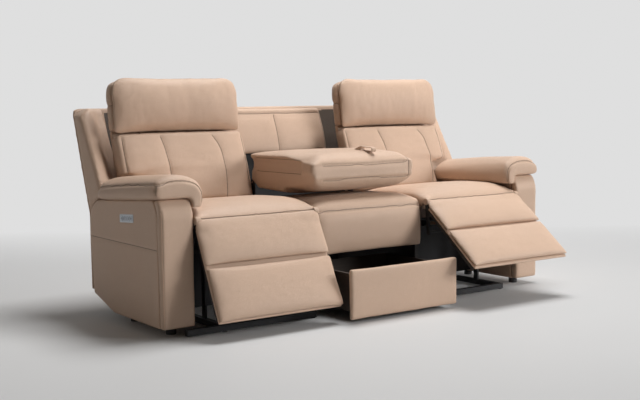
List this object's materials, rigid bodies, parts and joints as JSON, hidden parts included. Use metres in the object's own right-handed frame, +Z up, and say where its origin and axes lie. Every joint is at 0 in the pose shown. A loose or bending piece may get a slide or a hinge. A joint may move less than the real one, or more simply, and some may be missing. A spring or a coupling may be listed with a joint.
{
  "type": "power reclining sofa",
  "caption": "Leather power reclining sofa with reclining end seats, a middle back that folds forward into a table, and a drawer under the middle seat.",
  "frame": {"origin": "the middle of the bounding box's bottom face, on the floor", "axes": "+X along the sofa to the right of someone who faces its front, +Y from the front to the rear, +Z up"},
  "size_m": [2.2536, 1.2948, 1.0874],
  "materials": {
    "padded_leather": "satin",
    "stretched_leather": "satin",
    "footrest_edge": "satin",
    "back_cloth": "matte",
    "rear_leather": "satin",
    "frame_board": "matte",
    "frame_wood": "matte",
    "mechanism_steel": "satin",
    "bright_steel": "satin",
    "silver_trim": "satin",
    "black_plastic": "matte",
    "button_plastic": "satin"
  },
  "bodies": {
    "frame": {"base_frame": "mechanism_steel", "feet": "black_plastic", "power_supply": "black_plastic", "drawer_runners": "mechanism_steel", "middle_housing": "frame_wood", "middle_seat_cushion": "padded_leather", "middle_back_panel": "padded_leather", "rear_panel": "rear_leather", "control_plates": "silver_trim", "table_brackets": "mechanism_steel", "left_arm_front_panel": "stretched_leather", "left_arm_side_panel": "stretched_leather", "left_arm_frame": "frame_wood", "left_arm_pad": "padded_leather", "left_wing": "padded_leather", "right_arm_front_panel": "stretched_leather", "right_arm_side_panel": "stretched_leather", "right_arm_frame": "frame_wood", "right_arm_pad": "padded_leather", "right_wing": "padded_leather"},
    "left_seat_unit": {"left_seat_frame": "frame_board", "left_seat_cushion": "padded_leather", "left_drive_motor": "black_plastic"},
    "left_footrest_unit": {"left_footrest_arms": "mechanism_steel", "left_footrest_board": "footrest_edge", "left_footrest_upper_pad": "padded_leather", "left_footrest_lower_pad": "padded_leather"},
    "left_drive_unit": {"left_drive_rod": "bright_steel"},
    "left_back_unit": {"left_back_frame": "frame_board", "left_back_cushion": "padded_leather"},
    "left_headrest_unit": {"left_headrest_shell": "back_cloth", "left_headrest_cushion": "padded_leather"},
    "right_seat_unit": {"right_seat_frame": "frame_board", "right_seat_cushion": "padded_leather", "right_drive_motor": "black_plastic"},
    "right_footrest_unit": {"right_footrest_arms": "mechanism_steel", "right_footrest_board": "footrest_edge", "right_footrest_upper_pad": "padded_leather", "right_footrest_lower_pad": "padded_leather"},
    "right_drive_unit": {"right_drive_rod": "bright_steel"},
    "right_back_unit": {"right_back_frame": "frame_board", "right_back_cushion": "padded_leather"},
    "right_headrest_unit": {"right_headrest_shell": "back_cloth", "right_headrest_cushion": "padded_leather"},
    "left_button_1": {"left_button_1": "button_plastic"},
    "left_button_2": {"left_button_2": "button_plastic"},
    "left_button_3": {"left_button_3": "button_plastic"},
    "left_button_4": {"left_button_4": "button_plastic"},
    "left_button_5": {"left_button_5": "button_plastic"},
    "right_button_1": {"right_button_1": "button_plastic"},
    "right_button_2": {"right_button_2": "button_plastic"},
    "right_button_3": {"right_button_3": "button_plastic"},
    "right_button_4": {"right_button_4": "button_plastic"},
    "right_button_5": {"right_button_5": "button_plastic"},
    "table": {"table_frame": "padded_leather", "table_top_pad": "padded_leather", "table_cushion": "padded_leather", "pull_strap": "stretched_leather"},
    "drawer": {"drawer_front": "stretched_leather", "drawer_box": "frame_wood"}
  },
  "joints": [
    {"name": "left_seat", "type": "slide", "parent": "frame", "child": "left_seat_unit", "axis": [0, -1, 0], "range_m": [0, 0.104]},
    {"name": "left_back", "type": "hinge", "parent": "left_seat_unit", "child": "left_back_unit", "pos_m": [-0.633, 0.3336, 0.45], "axis": [-1, 0, 0], "range_deg": [0, 18.2]},
    {"name": "left_headrest", "type": "hinge", "parent": "left_back_unit", "child": "left_headrest_unit", "pos_m": [-0.633, 0.4136, 0.88], "axis": [1, 0, 0], "range_deg": [0, 25]},
    {"name": "left_footrest", "type": "hinge", "parent": "left_seat_unit", "child": "left_footrest_unit", "pos_m": [-0.633, -0.2854, 0.483], "axis": [-1, 0, 0], "range_deg": [-25.8, 69.2]},
    {"name": "left_drive", "type": "slide", "parent": "left_seat_unit", "child": "left_drive_unit", "axis": [0, -1, 0], "range_m": [-0.0622, 0.1665]},
    {"name": "right_seat", "type": "slide", "parent": "frame", "child": "right_seat_unit", "axis": [0, -1, 0], "range_m": [0, 0.104]},
    {"name": "right_back", "type": "hinge", "parent": "right_seat_unit", "child": "right_back_unit", "pos_m": [0.633, 0.3336, 0.45], "axis": [-1, 0, 0], "range_deg": [0, 18.2]},
    {"name": "right_headrest", "type": "hinge", "parent": "right_back_unit", "child": "right_headrest_unit", "pos_m": [0.633, 0.4136, 0.88], "axis": [1, 0, 0], "range_deg": [0, 25]},
    {"name": "right_footrest", "type": "hinge", "parent": "right_seat_unit", "child": "right_footrest_unit", "pos_m": [0.633, -0.2854, 0.483], "axis": [-1, 0, 0], "range_deg": [-51.9, 43.1]},
    {"name": "right_drive", "type": "slide", "parent": "right_seat_unit", "child": "right_drive_unit", "axis": [0, -1, 0], "range_m": [-0.1249, 0.1038]},
    {"name": "left_button_1", "type": "slide", "parent": "frame", "child": "left_button_1", "axis": [1, 0, 0], "range_m": [0, 0.0012], "stiffness_N_per_m": 300},
    {"name": "left_button_2", "type": "slide", "parent": "frame", "child": "left_button_2", "axis": [1, 0, 0], "range_m": [0, 0.0012], "stiffness_N_per_m": 300},
    {"name": "left_button_3", "type": "slide", "parent": "frame", "child": "left_button_3", "axis": [1, 0, 0], "range_m": [0, 0.0012], "stiffness_N_per_m": 300},
    {"name": "left_button_4", "type": "slide", "parent": "frame", "child": "left_button_4", "axis": [1, 0, 0], "range_m": [0, 0.0012], "stiffness_N_per_m": 300},
    {"name": "left_button_5", "type": "slide", "parent": "frame", "child": "left_button_5", "axis": [1, 0, 0], "range_m": [0, 0.0012], "stiffness_N_per_m": 300},
    {"name": "right_button_1", "type": "slide", "parent": "frame", "child": "right_button_1", "axis": [-1, 0, 0], "range_m": [0, 0.0012], "stiffness_N_per_m": 300},
    {"name": "right_button_2", "type": "slide", "parent": "frame", "child": "right_button_2", "axis": [-1, 0, 0], "range_m": [0, 0.0012], "stiffness_N_per_m": 300},
    {"name": "right_button_3", "type": "slide", "parent": "frame", "child": "right_button_3", "axis": [-1, 0, 0], "range_m": [0, 0.0012], "stiffness_N_per_m": 300},
    {"name": "right_button_4", "type": "slide", "parent": "frame", "child": "right_button_4", "axis": [-1, 0, 0], "range_m": [0, 0.0012], "stiffness_N_per_m": 300},
    {"name": "right_button_5", "type": "slide", "parent": "frame", "child": "right_button_5", "axis": [-1, 0, 0], "range_m": [0, 0.0012], "stiffness_N_per_m": 300},
    {"name": "table", "type": "hinge", "parent": "frame", "child": "table", "pos_m": [0, 0.2986, 0.58], "axis": [-1, 0, 0], "range_deg": [0, 101]},
    {"name": "drawer", "type": "slide", "parent": "frame", "child": "drawer", "axis": [0, 1, 0], "range_m": [-0.1, 0.25]}
  ],
  "couplings": [
    {"joint": "left_back", "follows": "left_seat", "rad_per_m": 3.05},
    {"joint": "left_drive", "follows": "left_footrest", "m_per_rad": 0.1377},
    {"joint": "right_back", "follows": "right_seat", "rad_per_m": 3.05},
    {"joint": "right_drive", "follows": "right_footrest", "m_per_rad": 0.1377}
  ]
}
